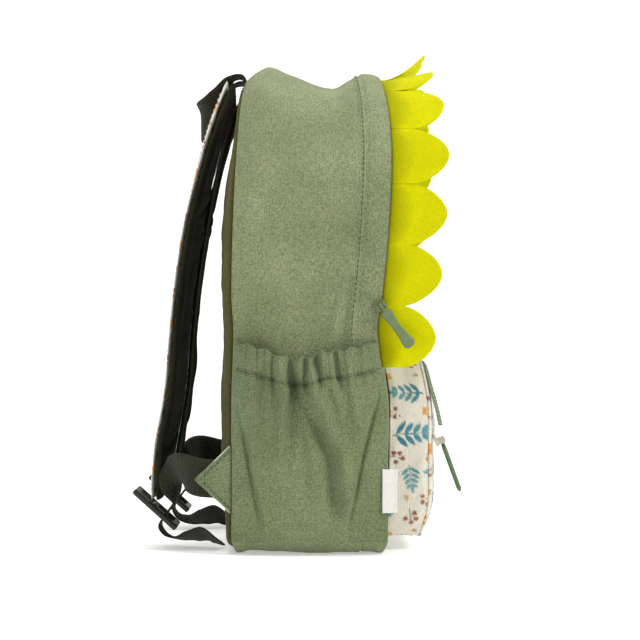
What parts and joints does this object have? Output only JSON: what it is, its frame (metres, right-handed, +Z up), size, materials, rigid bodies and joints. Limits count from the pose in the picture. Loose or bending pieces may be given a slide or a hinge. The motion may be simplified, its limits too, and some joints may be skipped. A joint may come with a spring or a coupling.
{
  "type": "kids animal backpack",
  "caption": "Small children's backpack in sage canvas with a crest of felt spikes, gathered side pockets, a printed front pocket and padded shoulder straps.",
  "frame": {"origin": "middle of the flat base that the bag stands on", "axes": "+Z up; -Y is the front of the bag, +Y the wearer's back; -X the wearer's left"},
  "size_m": [0.2776, 0.2206, 0.3386],
  "materials": {
    "canvas": "plain woven cotton canvas, sage green",
    "pocket_canvas": "plain woven cotton canvas, darker sage",
    "printed_canvas": "cream cotton canvas with a small printed pattern",
    "back_pad": "padded olive polyester mesh fabric",
    "strap_lining": "dark olive polyester over foam",
    "webbing": "dark olive polypropylene webbing",
    "felt": "lime-yellow wool felt, 3 mm",
    "zip_tape": "sage zip tape and coil",
    "slider_metal": "pale lacquered zinc",
    "main_pull_rubber": "soft moulded rubber, sage",
    "pocket_pull_rubber": "soft moulded rubber, green",
    "label": "white woven ribbon, blank",
    "buckle_plastic": "moulded acetal, dark olive"
  },
  "bodies": {
    "root": {"gusset": "canvas", "front_panel": "canvas", "back_panel": "back_pad", "main_zip": "zip_tape", "main_zip_slider": "slider_metal", "front_pocket": "printed_canvas", "front_pocket_face": "printed_canvas", "pocket_zip": "zip_tape", "pocket_zip_slider": "slider_metal", "side_label": "label", "haul_loop": "webbing", "crest_strip_left": "felt", "spike_left_1": "felt", "spike_left_2": "felt", "spike_left_3": "felt", "spike_left_4": "felt", "side_pocket_left": "pocket_canvas", "strap_cover_left": "printed_canvas", "strap_lining_left": "strap_lining", "webbing_left": "webbing", "adjuster_left": "buckle_plastic", "strap_tab_left": "pocket_canvas", "crest_strip_right": "felt", "spike_right_1": "felt", "spike_right_2": "felt", "spike_right_3": "felt", "spike_right_4": "felt", "side_pocket_right": "pocket_canvas", "strap_cover_right": "printed_canvas", "strap_lining_right": "strap_lining", "webbing_right": "webbing", "adjuster_right": "buckle_plastic", "strap_tab_right": "pocket_canvas"},
    "main_pull": {"main_zip_pull": "main_pull_rubber"},
    "pocket_pull": {"pocket_zip_pull": "pocket_pull_rubber"}
  },
  "joints": [
    {"name": "main_pull_swing", "type": "hinge", "parent": "root", "child": "main_pull", "pos_m": [-0.1245, -0.04624, 0.163], "axis": [0, 0.7986, -0.6018], "range_deg": [0, 150]},
    {"name": "pocket_pull_swing", "type": "hinge", "parent": "root", "child": "pocket_pull", "pos_m": [-0.0905, -0.08737, 0.074], "axis": [-1, 0, 0], "range_deg": [0, 130]}
  ]
}
